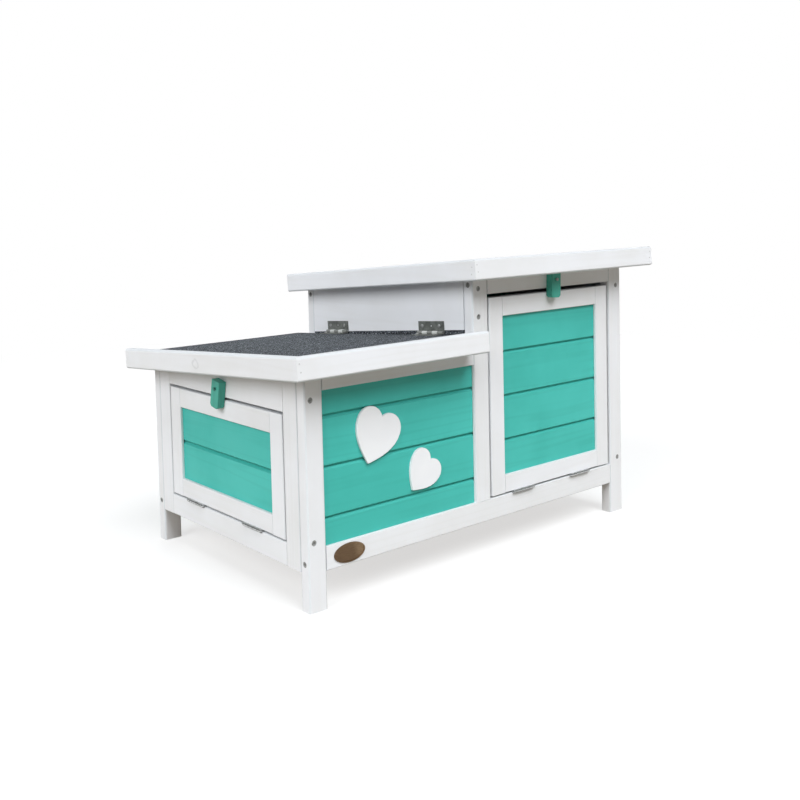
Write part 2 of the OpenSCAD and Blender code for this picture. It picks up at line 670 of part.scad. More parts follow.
module lid_hinge_lid_leaves() color(ZINC) place() tilt_lid() at_lid_hinges() at_lid_leaf()
    leaf(lid_hinge_w, lid_leaf_l, lid_barrel_d, -lid_barrel_seat, 1, true);
module lid_hinge_wall_leaves() color(ZINC) place() tilt_lid() at_lid_hinges() at_wall_leaf()
    leaf(lid_hinge_w, lid_leaf_l, lid_barrel_d, lid_barrel_seat - leaf_t, 0, true);
module lid_leaf_screws() color(ZINC) place() tilt_lid() at_lid_hinges() at_lid_leaf_screws() small_screw();
module wall_leaf_screws() color(ZINC) place() tilt_lid() at_lid_hinges() at_wall_leaf_screws() small_screw();

// The hinges of each door, drawn along the door's lower edge from their axes
module at_hinges(middle, spacing) for (side = [-1, 1])
    translate([middle + side * spacing / 2 - door_hinge_w / 2, door_barrel_y, door_barrel_z]) children();
module at_left_hinges() on_left_end()
    at_hinges(frame_d / 2 + left_hinge_shift, left_hinge_spacing) children();
module at_tall_hinges()
    at_hinges(tall_door_x + tall_door_w / 2 + tall_hinge_shift, tall_hinge_spacing) children();
module door_leaf(first, z) leaf(door_hinge_w, door_leaf_l, door_barrel_d, z, first, false);

module left_door_hinge_leaves() color(ZINC) place() at_left_hinges() door_leaf(1, door_gap / 2 - leaf_t);
module tall_door_hinge_leaves() color(ZINC) place() at_tall_hinges() door_leaf(1, door_gap / 2 - leaf_t);
module door_hinge_frame_leaves() color(ZINC) place() {
    at_left_hinges() door_leaf(0, -door_gap / 2);
    at_tall_hinges() door_leaf(0, -door_gap / 2);
}
module pin(w) rotate([0, 90, 0]) cylinder(d = pin_d, h = w);
module hinge_pins() color(ZINC) place() {
    at_left_hinges() pin(door_hinge_w);
    at_tall_hinges() pin(door_hinge_w);
    tilt_lid() at_lid_hinges() rotate([0, 0, 90]) pin(lid_hinge_w);
}

// A turn-button on the front face, its screw on x = z = 0 and its back at y = -latch_gap
module latch() {
    low = latch_pivot_drop - latch_l;
    half = latch_w / 2;
    c = latch_chamfer;
    translate([0, -latch_gap, 0]) rotate([90, 0, 0]) difference() {
        linear_extrude(latch_t) polygon([[-half, low + c], [c - half, low], [half - c, low], [half, low + c],
            [half, latch_pivot_drop], [-half, latch_pivot_drop]]);
        translate([0, 0, -1]) cylinder(d = screw_d + 2 * screw_clearance, h = latch_t + 2);
    }
}

// The screw a turn-button swings on, with its head clear of the button
module latch_screw(grow = 0) rotate([90, 0, 0]) {
    head_z = latch_gap + latch_t + latch_gap;
    depth = timber_t * 0.8 + grow;
    translate([0, 0, head_z]) cylinder(r = screw_head_d / 2 + grow, h = latch_screw_head_t);
    translate([0, 0, -depth]) cylinder(r = screw_d / 2 + grow, h = depth + head_z);
}
module at_left_latch() on_left_end()
    translate([frame_d / 2 - left_latch_shift, 0, door_z + left_door_h + left_latch_rise]) children();
module at_tall_latch()
    translate([tall_door_x + tall_door_w / 2, 0, door_z + tall_door_h + tall_latch_rise]) children();
module at_latch_screws() {
    at_left_latch() children();
    at_tall_latch() children();
}
module left_latch() color(TEAL_DARK) place() at_left_latch() rotate([0, left_latch_turn, 0]) latch();
module tall_latch() color(TEAL_DARK) place() at_tall_latch() rotate([0, tall_latch_turn, 0]) latch();
module latch_screws() color(ZINC) place() at_latch_screws() latch_screw();

// Half of a heart's outline for a point-to-cleft length of 1: a curved side, then a round lobe
lobe_r = 0.335;
lobe_c = [0.265, 0.795];
function bezier(p, t) =
    pow(1 - t, 3) * p[0] + 3 * t * pow(1 - t, 2) * p[1] + 3 * t * t * (1 - t) * p[2] + pow(t, 3) * p[3];
side_curve = [[0, 0], [0.28, 0.2], [lobe_c.x + lobe_r, 0.45], [lobe_c.x + lobe_r, lobe_c.y]];
cleft_angle = 180 - atan((1 - lobe_c.y) / lobe_c.x);
half_heart = concat([for (i = [0:7]) bezier(side_curve, i / 8)], arc(lobe_c, lobe_r, 0, cleft_angle, 12));
module heart(l) {
    half = [for (p = half_heart) l * p];
    other = [for (i = [len(half) - 2:-1:1]) [-half[i].x, half[i].y]];
    linear_extrude(heart_t) polygon(concat(half, other));
}
module at_heart(x, z, tilt) at_front_panel() translate([x, plank_recess, z])
    rotate([90, 0, 0]) rotate([0, 0, -tilt]) children();
module large_heart() color(WHITE) place()
    at_heart(large_heart_x, large_heart_z, large_heart_tilt) heart(large_heart_l);
module small_heart() color(WHITE) place()
    at_heart(small_heart_x, small_heart_z, small_heart_tilt) heart(small_heart_l);

// A bare oval plate with a raised rim, on the front bottom rail
module oval(grow, t) linear_extrude(t)
    polygon([for (a = [0:7.5:352.5]) [(plate_w / 2 + grow) * cos(a), (plate_h / 2 + grow) * sin(a)]]);
module oval_plate() color(BRONZE) place()
    translate([post_w + plate_x, 0, leg_h + bottom_rail_h / 2]) rotate([90, 0, 0]) difference() {
        oval(0, plate_t);
        translate([0, 0, plate_t / 2]) oval(-plate_rim_w, plate_t);
    }

module frame_screws() color(ZINC) place() at_frame_screws() translate([0, 0, -screw_sink]) frame_screw();

front_left_post();
front_centre_post();
front_right_post();
back_left_post();
back_centre_post();
back_right_post();
front_bottom_rail();
back_bottom_rail();
front_low_top_rail();
front_tall_top_rail();
back_low_top_rail();
back_tall_top_rail();
left_end_stiles();
left_end_bottom_rail();
left_end_top_rail();
right_end_stiles();
right_end_bottom_rail();
right_end_top_rail();
middle_beam();
step_wall();
front_planks();
back_low_planks();
back_tall_planks();
right_end_planks();
floor_boards();
floor_bearers();
lid_board();
lid_felt();
lid_front_fascia();
lid_left_fascia();
lid_back_fascia();
tall_roof_board();
tall_roof_felt();
tall_front_fascia();
tall_back_fascia();
tall_left_fascia();
tall_right_fascia();
left_door_stiles();
left_door_top_rail();
left_door_bottom_rail();
left_door_planks();
tall_door_stiles();
tall_door_top_rail();
tall_door_bottom_rail();
tall_door_planks();
lid_hinge_wall_leaves();
lid_hinge_lid_leaves();
door_hinge_frame_leaves();
left_door_hinge_leaves();
tall_door_hinge_leaves();
hinge_pins();
wall_leaf_screws();
lid_leaf_screws();
left_latch();
tall_latch();
latch_screws();
large_heart();
small_heart();
oval_plate();
frame_screws();
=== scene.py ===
"""Looks of the wooden rabbit house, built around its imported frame. Lengths are in metres."""
import json
import math
import random

import bmesh
import bpy
import numpy as np
from mathutils import Matrix, Vector


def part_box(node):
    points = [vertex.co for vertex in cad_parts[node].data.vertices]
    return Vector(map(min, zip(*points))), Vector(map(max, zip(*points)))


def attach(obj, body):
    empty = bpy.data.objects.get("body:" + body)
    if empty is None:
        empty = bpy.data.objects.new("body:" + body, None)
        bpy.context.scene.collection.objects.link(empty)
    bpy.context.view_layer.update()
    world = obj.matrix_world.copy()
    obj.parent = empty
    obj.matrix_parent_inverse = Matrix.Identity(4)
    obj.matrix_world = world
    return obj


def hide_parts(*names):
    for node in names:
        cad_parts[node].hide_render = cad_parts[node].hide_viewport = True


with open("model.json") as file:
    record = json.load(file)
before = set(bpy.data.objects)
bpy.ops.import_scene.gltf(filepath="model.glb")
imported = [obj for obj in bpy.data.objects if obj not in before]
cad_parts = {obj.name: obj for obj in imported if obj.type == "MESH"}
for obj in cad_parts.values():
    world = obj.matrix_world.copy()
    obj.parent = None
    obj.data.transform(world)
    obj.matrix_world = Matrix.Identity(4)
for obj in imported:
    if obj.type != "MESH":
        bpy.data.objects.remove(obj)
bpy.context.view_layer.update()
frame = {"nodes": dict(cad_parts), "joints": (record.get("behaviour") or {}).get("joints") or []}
MM = 0.001
NODES = frame["nodes"]
# Vertices of a node that are nearer to each other than this are one
JOIN_REACH = 0.01 * MM
random.seed(7)


# Camera: the photograph's own, with its principal point up and left of the picture's middle
PICTURE = 800
FOCAL_PX = 985.9
PRINCIPAL_PX = (356.0, 265.8)
SENSOR = 36.0
# From the lower outer corner of the front left post
CAMERA_FROM_POST = Vector((-0.69456, -0.97823, 0.50154))
CAMERA_YAW = 38.61
CAMERA_PITCH = -3.28
CAMERA_ROLL = -1.46


def make_camera():
    yaw, pitch, roll = (math.radians(a) for a in (CAMERA_YAW, CAMERA_PITCH, CAMERA_ROLL))
    forward = Vector((math.sin(yaw) * math.cos(pitch), math.cos(yaw) * math.cos(pitch),
                      math.sin(pitch)))
    level = forward.cross(Vector((0, 0, 1))).normalized()
    upright = level.cross(forward)
    right = math.cos(roll) * level + math.sin(roll) * upright
    up = math.cos(roll) * upright - math.sin(roll) * level
    data = bpy.data.cameras.new("camera")
    data.sensor_width = SENSOR
    data.lens = FOCAL_PX * SENSOR / PICTURE
    data.shift_x = 0.5 - PRINCIPAL_PX[0] / PICTURE
    data.shift_y = PRINCIPAL_PX[1] / PICTURE - 0.5
    camera = bpy.data.objects.new("camera", data)
    bpy.context.collection.objects.link(camera)
    turn = Matrix((right, up, -forward)).transposed().to_4x4()
    place = Vector(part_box("front_left_post")[0]) + CAMERA_FROM_POST
    camera.matrix_world = Matrix.Translation(place) @ turn
    bpy.context.scene.camera = camera


# Materials
def linear(r, g, b):
    """A colour given as it looks on screen, 0 to 255, as the linear values that a shader takes."""
    def one(value):
        value = value / 255
        return value / 12.92 if value <= 0.04045 else ((value + 0.055) / 1.055) ** 2.4
    return (one(r), one(g), one(b), 1.0)


WHITE = linear(235, 236, 240)
WHITE_SHADE = linear(227, 227, 228)
HEART = linear(243, 244, 247)
TEAL = linear(72, 191, 181)
TEAL_SHADE = linear(64, 177, 166)
LATCH = linear(74, 169, 152)
LATCH_SHADE = linear(57, 141, 124)
# Painted shade, darker paint where the lamps light strongly: first for faces that look in the
# shaded directions, then for rounded edges
WHITE_PAINTED_SHADE = (linear(203, 205, 208), linear(212, 215, 219))
TEAL_PAINTED_SHADE = (linear(58, 162, 152), linear(60, 168, 158))
KNOT_LIP = linear(182, 184, 186)
BARE_WOOD = linear(214, 186, 142)
BARE_RINGS = linear(178, 138, 92)
BARE_FIBRES = linear(150, 112, 74)
FELT_LOW = linear(28, 30, 33)
FELT_HIGH = linear(87, 92, 98)
FELT_PALE = linear(168, 173, 180)
FELT_BLACK = linear(18, 19, 21)
FELT_CLOUDS = linear(62, 66, 72)
# Metals, each with the colour of its patches
LID_HINGE = (linear(124, 127, 123), linear(98, 101, 97))
WALL_KNUCKLES = linear(150, 152, 148)
LID_KNUCKLES = linear(232, 233, 230)
HINGE_PINS = (linear(205, 206, 205), linear(160, 160, 156))
DOOR_HINGES = (linear(226, 227, 226), linear(186, 187, 184))
# Painted shade for the door hinge barrels' undersides
DOOR_HINGE_UNDERSIDE_SHADE = linear(70, 70, 68)
BRONZE = (linear(112, 90, 69), linear(142, 118, 92))
BRONZE_LINES = linear(78, 62, 46)
FRAME_SCREWS = (linear(168, 168, 165), linear(128, 128, 126))
WALL_LEAF_SCREWS = (linear(176, 177, 176), linear(134, 135, 134))
LID_LEAF_SCREWS = (linear(214, 215, 214), linear(178, 178, 175))
LATCH_SCREWS = (linear(196, 197, 196), linear(158, 159, 158))
LATCH_SCREW_PAINT = linear(70, 132, 120)
NAILS = (linear(216, 217, 218), linear(196, 196, 196))

# Between these two values lies nearly all of a noise, as used for colour and for roughness
COLOUR_NOISE = (0.35, 0.68)
ROUGH_NOISE = (0.3, 0.7)


class Paint:
    """A material's node tree, with a short call for each kind of node that repeats."""

    def __init__(self, name, metallic=0.0):
        self.material = bpy.data.materials.new(name)
        self.material.use_nodes = True
        self.tree = self.material.node_tree
        self.shader = self.tree.nodes["Principled BSDF"]
        self.shader.inputs["Metallic"].default_value = metallic
        coordinates = self.tree.nodes.new("ShaderNodeTexCoord")
        self.place = coordinates.outputs["Object"]
        self.normal = coordinates.outputs["Normal"]

    def put(self, socket, value):
        if isinstance(value, bpy.types.NodeSocket):
            self.tree.links.new(value, socket)
        else:
            socket.default_value = value

    def stretched(self, scale, offset=(0, 0, 0)):
        node = self.tree.nodes.new("ShaderNodeMapping")
        self.put(node.inputs["Vector"], self.place)
        node.inputs["Scale"].default_value = scale
        node.inputs["Location"].default_value = offset
        return node.outputs["Vector"]

    def grain(self, axis, along, offset=(0, 0, 0)):
        """The place with one axis scaled, so that a noise is drawn out along it."""
        scale = [1.0, 1.0, 1.0]
        scale["xyz".index(axis)] = along
        return self.stretched(scale, offset)

    def noise(self, vector, scale, detail=2.0, roughness=0.5, distortion=0.0):
        node = self.tree.nodes.new("ShaderNodeTexNoise")
        self.put(node.inputs["Vector"], vector)
        for name, value in (("Scale", scale), ("Detail", detail), ("Roughness", roughness),
                            ("Distortion", distortion)):
            node.inputs[name].default_value = value
        return node.outputs["Fac"]

    def patches(self, scale):
        """The noise that dulls a metal in patches."""
        return self.noise(self.place, scale, detail=3.0, roughness=0.6)

    def cells(self, scale):
        node = self.tree.nodes.new("ShaderNodeTexVoronoi")
        self.put(node.inputs["Vector"], self.place)
        node.inputs["Scale"].default_value = scale
        return node.outputs

    def math(self, operation, a, b=0.0, clamp=False):
        node = self.tree.nodes.new("ShaderNodeMath")
        node.operation = operation
        node.use_clamp = clamp
        self.put(node.inputs[0], a)
        self.put(node.inputs[1], b)
        return node.outputs[0]

    def span(self, value, low, high, to_low, to_high):
        """The value, taken smoothly from the range low to high into the range to_low to to_high."""
        node = self.tree.nodes.new("ShaderNodeMapRange")
        node.interpolation_type = "SMOOTHSTEP"
        for name, number in (("Value", value), ("From Min", low), ("From Max", high),
                             ("To Min", to_low), ("To Max", to_high)):
            self.put(node.inputs[name], number)
        return node.outputs["Result"]

    def mix(self, factor, a, b):
        node = self.tree.nodes.new("ShaderNodeMix")
        node.data_type = "RGBA"
        self.put(node.inputs["Factor"], factor)
        self.put(node.inputs[6], a)
        self.put(node.inputs[7], b)
        return node.outputs[2]

    def vector_math(self, operation, a, b=(0, 0, 0)):
        node = self.tree.nodes.new("ShaderNodeVectorMath")
        node.operation = operation
        self.put(node.inputs[0], a)
        self.put(node.inputs[1], b)
        return node.outputs

    def parts(self, vector):
        """The vector's x, y and z."""
        node = self.tree.nodes.new("ShaderNodeSeparateXYZ")
        self.put(node.inputs[0], vector)
        return node.outputs

    def distance(self, point, scale):
        """Distance of the surface from a point, with each direction scaled."""
        scaled = [p * s for p, s in zip(point, scale)]
        return self.vector_math("DISTANCE", self.stretched(scale), scaled)["Value"]

    def off_axis(self, point, axis):
        """Distance of the surface from the line through a point along a unit axis."""
        away = self.vector_math("SUBTRACT", self.place, point)["Vector"]
        across = self.vector_math("CROSS_PRODUCT", away, axis)["Vector"]
        return self.vector_math("LENGTH", across)["Value"]

    def facing(self):
        """How far the surface faces along x, y and z, and how far between them, as an edge does."""
        along = self.parts(self.normal)
        x, y, z = (self.math("ABSOLUTE", along[i]) for i in range(3))
        pairs = [self.math("MULTIPLY", a, b) for a, b in ((x, y), (y, z), (z, x))]
        between = self.math("ADD", self.math("ADD", pairs[0], pairs[1]), pairs[2])
        return along, between

    def year_rings(self, bands, count, width):
        """Year rings: 1 on the lines that the bands draw, falling to 0 at the width."""
        waves = self.math("PINGPONG", self.math("MULTIPLY", bands, count), 1.0)
        return self.span(waves, 0.0, width, 1.0, 0.0)

    def patchy(self, patches, colours):
        return self.mix(self.span(patches, *COLOUR_NOISE, 0.0, 1.0), *colours)

    def rough(self, noise, low, high):
        return self.span(noise, *ROUGH_NOISE, low, high)

    def bump(self, height, strength, depth, under=None):
        node = self.tree.nodes.new("ShaderNodeBump")
        node.inputs["Strength"].default_value = strength
        node.inputs["Distance"].default_value = depth
        self.put(node.inputs["Height"], height)
        if under is not None:
            self.put(node.inputs["Normal"], under)
        return node.outputs["Normal"]

    def finish(self, colour, roughness, normal=None):
        self.put(self.shader.inputs["Base Color"], colour)
        self.put(self.shader.inputs["Roughness"], roughness)
        if normal is not None:
            self.put(self.shader.inputs["Normal"], normal)
        return self.material


DULL_SPECULAR = 0.3
PAINTED_GRAIN = 0.045
BARE_GRAIN = 0.05
# How far the normal turns between the axes on a rounded edge, and towards an axis on a face, where
# painted shade goes
EDGE_BETWEEN = (0.12, 0.42)
SHADE_TOWARDS = (0.3, 0.85)
ROW_TONES = 0.3
# The knot is an oval made uneven by noise; its lip stands where the ring ends
KNOT_SCALE = (1, 0.8, 1.1)
KNOT_WOBBLE = 7 * MM
KNOT_RING = (7 * MM, 12 * MM)


def painted_wood(name, light, shade, axis, seed, rings_share=0.22, relief_depth=1.0, rows=None,
                 knot=None, painted_shade=None, shade_directions="z"):
    """Satin paint over planed wood, whose grain runs along the axis and shows as fine relief.

    The seed moves the grain, so that no two pieces are alike. Painted shade darkens rounded edges
    and the faces that look in the shaded directions, where the lamps would light them brightest.
    Rows are the height of one joint between planks and the planks' pitch; each plank has its own
    tone.
    """
    p = Paint(name)
    p.shader.inputs["Specular IOR Level"].default_value = DULL_SPECULAR
    along = p.grain(axis, PAINTED_GRAIN, (seed, 2 * seed, 3 * seed))
    fibres = p.noise(along, 900.0, detail=3.0, roughness=0.6)
    bands = p.noise(along, 26.0, roughness=0.45, distortion=0.4)
    rings = p.year_rings(bands, 15.0, 0.55)
    clouds = p.noise(p.stretched((1, 1, 1), (seed, seed, 0)), 7.0, detail=4.0, roughness=0.6)
    tone = p.math("ADD", p.math("MULTIPLY", rings, rings_share),
                  p.span(clouds, *COLOUR_NOISE, 0.0, 0.6), clamp=True)
    colour = p.mix(tone, light, shade)
    # Painted shade: darker paint on rounded edges and on faces that look in the shaded directions
    if painted_shade:
        faces, edges = painted_shade
        towards, between = p.facing()
        colour = p.mix(p.span(between, *EDGE_BETWEEN, 0.0, 1.0), colour, edges)
        for direction in shade_directions:
            facing = towards["xyz".index(direction)]
            colour = p.mix(p.span(facing, *SHADE_TOWARDS, 0.0, 1.0), colour, faces)
    if rows:
        joint, pitch = rows
        height = p.math("SUBTRACT", p.parts(p.place)[2], joint)
        number = p.math("FLOOR", p.math("DIVIDE", height, pitch))
        dice = p.tree.nodes.new("ShaderNodeTexWhiteNoise")
        dice.noise_dimensions = "1D"
        p.put(dice.inputs["W"], p.math("ADD", number, 10 * seed))
        colour = p.mix(p.span(dice.outputs["Value"], 0.0, 1.0, 0.0, ROW_TONES), colour, shade)
    relief = p.math("ADD", p.math("MULTIPLY", fibres, 0.5), p.math("MULTIPLY", rings, -0.25))
    if knot:
        wobble = p.math("MULTIPLY", p.noise(p.place, 160.0), KNOT_WOBBLE)
        ring = p.span(p.math("ADD", p.distance(knot, KNOT_SCALE), wobble), *KNOT_RING, 1.0, 0.0)
        lip = p.math("MULTIPLY", p.math("MULTIPLY", ring, p.math("SUBTRACT", 1.0, ring)), 4.0)
        colour = p.mix(p.math("MULTIPLY", lip, 0.32), colour, KNOT_LIP)
        relief = p.math("SUBTRACT", relief, p.math("MULTIPLY", lip, 0.7))
    orange_peel = p.noise(p.place, 420.0, detail=1.0)
    normal = p.bump(relief, 0.25 * relief_depth, 0.22 * MM)
    normal = p.bump(orange_peel, 0.10, 0.2 * MM, normal)
    return p.finish(colour, p.rough(clouds, 0.42, 0.55), normal)


def bare_wood(name, axis):
    p = Paint(name)
    along = p.grain(axis, BARE_GRAIN)
    fibres = p.noise(along, 1100.0, detail=3.0, roughness=0.65)
    bands = p.noise(along, 18.0, distortion=0.5)
    rings = p.year_rings(bands, 18.0, 0.8)
    colour = p.mix(p.span(rings, 0.0, 1.0, 0.0, 0.65), BARE_WOOD, BARE_RINGS)
    colour = p.mix(p.span(fibres, 0.35, 0.75, 0.0, 0.35), colour, BARE_FIBRES)
    return p.finish(colour, p.rough(fibres, 0.55, 0.75), p.bump(fibres, 0.35, 0.2 * MM))


def roofing_felt(name):
    """Bitumen felt with slate granules of about a millimetre, each with its own shade."""
    p = Paint(name)
    p.shader.inputs["Specular IOR Level"].default_value = DULL_SPECULAR
    grains = p.cells(760.0)
    fine = p.cells(1500.0)
    split = p.tree.nodes.new("ShaderNodeSeparateColor")
    p.put(split.inputs[0], grains["Color"])
    first, second, third = (split.outputs[i] for i in range(3))
    clouds = p.noise(p.place, 14.0, detail=4.0, roughness=0.6)
    colour = p.mix(p.span(first, 0.15, 0.9, 0.0, 1.0), FELT_LOW, FELT_HIGH)
    colour = p.mix(p.span(second, 0.88, 0.92, 0.0, 0.9), colour, FELT_PALE)
    colour = p.mix(p.span(third, 0.82, 0.88, 0.0, 0.9), colour, FELT_BLACK)
    colour = p.mix(p.span(clouds, 0.3, 0.75, 0.0, 0.25), colour, FELT_CLOUDS)
    height = p.math("ADD", p.math("MULTIPLY", grains["Distance"], -1.0),
                    p.math("MULTIPLY", fine["Distance"], -0.5))
    return p.finish(colour, p.span(second, 0.0, 1.0, 0.78, 0.95), p.bump(height, 0.9, 0.6 * MM))


def metal(name, colours, roughness, scale=160.0, metallic=1.0):
    """Plated metal, dulled in patches and finely scratched."""
    p = Paint(name, metallic)
    patches = p.patches(scale)
    scratches = p.noise(p.grain("y", 0.08), 2400.0)
    wear = p.math("ADD", patches, p.math("MULTIPLY", scratches, 0.4))
    return p.finish(p.patchy(patches, colours),
                    p.span(wear, 0.4, 1.0, roughness - 0.08, roughness + 0.14),
                    p.bump(scratches, 0.12, 0.05 * MM))


# The knuckles' colour ends at this distance from the lid hinge's axis
KNUCKLE_EDGE = (2.9 * MM, 3.1 * MM)


def leaf_metal(name, joint, knuckles):
    """Dull leaves, and knuckles of another colour round the joint's axis."""
    p = Paint(name, metallic=0.4)
    patches = p.patches(90.0)
    away = p.off_axis(joint["pos_m"], joint["axis"])
    knuckle = p.span(away, *KNUCKLE_EDGE, 1.0, 0.0)
    return p.finish(p.mix(knuckle, p.patchy(patches, LID_HINGE), knuckles),
                    p.rough(patches, 0.42, 0.56), p.bump(patches, 0.1, 0.1 * MM))


def latch_screw_metal(name):
    """Dull steel; the screw at the left end is painted over with its turn-button."""
    p = Paint(name, metallic=0.2)
    post_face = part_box("front_left_post")[1][0]
    painted = p.span(p.parts(p.place)[0], post_face, 0.0, 1.0, 0.0)
    patches = p.patches(300.0)
    return p.finish(p.mix(painted, p.patchy(patches, LATCH_SCREWS), LATCH_SCREW_PAINT),
                    p.rough(patches, 0.4, 0.55))


def barrel_metal(name, axis_z):
    """Bright barrels with painted shade on the half that faces the ground."""
    p = Paint(name, metallic=1.0)
    patches = p.patches(160.0)
    height = p.parts(p.place)[2]
    # Painted shade below the joint's axis
    under = p.span(height, axis_z - 1.6 * MM, axis_z + 0.6 * MM, 0.75, 0.0)
    return p.finish(p.mix(under, p.patchy(patches, DOOR_HINGES), DOOR_HINGE_UNDERSIDE_SHADE),
                    p.rough(patches, 0.26, 0.4), p.bump(patches, 0.1, 0.1 * MM))


def bronze(name):
    """Brushed bronze that is lighter in broad patches, with fine lines along x."""
    p = Paint(name, metallic=1.0)
    lines = p.noise(p.grain("x", 0.06), 3200.0, detail=3.0, roughness=0.6)
    drift = p.noise(p.place, 22.0, detail=1.0)
    colour = p.mix(p.span(drift, 0.35, 0.65, 0.0, 1.0), *BRONZE)
    colour = p.mix(p.span(lines, 0.35, 0.7, 0.0, 0.45), colour, BRONZE_LINES)
    return p.finish(colour, p.rough(lines, 0.40, 0.52), p.bump(lines, 0.2, 0.05 * MM))


# Dressing of the frame's own nodes
SOFT_ANGLE = 35
SOFT_SEGMENTS = 3
HEART_SOFTNESS = 0.9 * MM
LATCH_SOFTNESS = 0.7 * MM

# White timber, by the direction of its grain
TIMBER = {
    "x": ("front_bottom_rail", "back_bottom_rail", "front_low_top_rail", "front_tall_top_rail",
          "back_low_top_rail", "back_tall_top_rail", "tall_door_top_rail",
          "tall_door_bottom_rail", "lid_front_fascia", "lid_back_fascia", "tall_front_fascia",
          "tall_back_fascia", "lid_board", "tall_roof_board"),
    "y": ("left_end_bottom_rail", "left_end_top_rail", "right_end_bottom_rail",
          "right_end_top_rail", "middle_beam", "step_wall", "left_door_top_rail",
          "left_door_bottom_rail", "tall_left_fascia", "tall_right_fascia"),
    "z": ("front_left_post", "front_centre_post", "front_right_post", "back_left_post",
          "back_centre_post", "back_right_post", "left_end_stiles", "right_end_stiles",
          "left_door_stiles", "tall_door_stiles"),
}
# Teal planks, their direction, and the height of the lowest joint over their visible edge, in mm
PLANKS = (("front_planks", "x", 34), ("back_low_planks", "x", 34), ("back_tall_planks", "x", 34),
          ("right_end_planks", "y", 34), ("left_door_planks", "y", 55),
          ("tall_door_planks", "x", 50))
PLANK_PITCH = 65
# How far the planks go down behind that edge, in mm
PLANK_TUCK = 5
# The knot in the lid's left fascia
KNOT_YZ = (0.013, 0.297)
# The direction in which each door's inner face looks
INNER_FACES = (("left_door", "x"), ("tall_door", "y"))


def dress(names, material):
    for name in names:
        for slot in NODES[name].material_slots:
            slot.material = material


def soften(names, width):
    """Rounds the sharp edges of frame nodes by modifiers, after joining their faces' corners."""
    for name in names:
        node = NODES[name]
        weld = node.modifiers.new("join", "WELD")
        weld.merge_threshold = JOIN_REACH
        bevel = node.modifiers.new("soften", "BEVEL")
        bevel.width = width
        bevel.segments = SOFT_SEGMENTS
        bevel.limit_method = "ANGLE"
        bevel.angle_limit = math.radians(SOFT_ANGLE)


def painted_shade_directions(name):
    """Painted shade goes on faces that look up, and on the doors' inner faces."""
    return "z" + "".join(axis for door, axis in INNER_FACES if name.startswith(door))


def dress_timber():
    for axis, names in TIMBER.items():
        for k, name in enumerate(names):
            dress([name], painted_wood("white_" + name, WHITE, WHITE_SHADE, axis,
                                       seed=0.37 * k + 0.11, painted_shade=WHITE_PAINTED_SHADE,
                                       shade_directions=painted_shade_directions(name)))
    knot = (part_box("lid_left_fascia")[0][0], *KNOT_YZ)
    dress(["lid_left_fascia"], painted_wood("white_lid_left_fascia", WHITE, WHITE_SHADE, "y",
                                            seed=5.3, knot=knot, painted_shade=WHITE_PAINTED_SHADE))
    for k, name in enumerate(("large_heart", "small_heart")):
        dress([name], painted_wood("white_" + name, HEART, WHITE, "z", seed=9.1 + k,
                                   rings_share=0.0, relief_depth=0.2, painted_shade=WHITE_PAINTED_SHADE))
    for k, (name, axis, first) in enumerate(PLANKS):
        rows = (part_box(name)[0][2] + (PLANK_TUCK + first) * MM, PLANK_PITCH * MM)
        dress([name], painted_wood("teal_" + name, TEAL, TEAL_SHADE, axis, seed=1.7 + 0.61 * k,
                                   rings_share=0.35, rows=rows, painted_shade=TEAL_PAINTED_SHADE,
                                   shade_directions=painted_shade_directions(name)))
    for k, name in enumerate(("left_latch", "tall_latch")):
        dress([name], painted_wood("teal_" + name, LATCH, LATCH_SHADE, "z", seed=7.1 + k,
                                   rings_share=0.3))
    dress(["floor_boards"], bare_wood("bare_floor", "x"))
    dress(["floor_bearers"], bare_wood("bare_bearers", "y"))
    soften(["large_heart", "small_heart"], HEART_SOFTNESS)
    soften(["left_latch", "tall_latch"], LATCH_SOFTNESS)


def dress_hardware():
    joints = {joint["name"]: joint for joint in frame["joints"]}
    lid_hinge = joints["lid_hinge"]
    dress(["lid_hinge_wall_leaves"], leaf_metal("dull_zinc", lid_hinge, WALL_KNUCKLES))
    dress(["lid_hinge_lid_leaves"], leaf_metal("worn_zinc", lid_hinge, LID_KNUCKLES))
    dress(["hinge_pins"], metal("bright_zinc", HINGE_PINS, 0.30))
    dress(["door_hinge_frame_leaves", "left_door_hinge_leaves", "tall_door_hinge_leaves"],
          barrel_metal("door_zinc", joints["tall_door_hinge"]["pos_m"][2]))
    dress(["oval_plate"], bronze("bronze"))


# New pieces
def mesh_of(name, shape):
    mesh = bpy.data.meshes.new(name)
    shape.to_mesh(mesh)
    shape.free()
    return mesh


def new_piece(name, shape, material, body):
    mesh = mesh_of(name, shape)
    piece = bpy.data.objects.new(name, mesh)
    bpy.context.collection.objects.link(piece)
    mesh.materials.append(material)
    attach(piece, body)
    return piece


def neighbours(count):
    """Each place on a ring, with the next one."""
    return [(k, (k + 1) % count) for k in range(count)]


def circle(shape, placed, radius, height, count):
    """A ring of new vertices round the z axis of a placed frame."""
    turns = [2 * math.pi * k / count for k in range(count)]
    return [shape.verts.new(placed @ Vector((radius * math.cos(a), radius * math.sin(a), height)))
            for a in turns]


def islands(shape):
    """The points of each loose part of a shape, in the order of its vertices."""
    left = set(shape.verts)
    found = []
    for first in shape.verts:
        if first not in left:
            continue
        left.remove(first)
        stack = [first]
        island = []
        while stack:
            vert = stack.pop()
            island.append(tuple(vert.co))
            for edge in vert.link_edges:
                other = edge.other_vert(vert)
                if other in left:
                    left.remove(other)
                    stack.append(other)
        found.append(np.array(island))
    return found


# A screw's points this near its top belong to its head
HEAD_REACH = 0.05 * MM


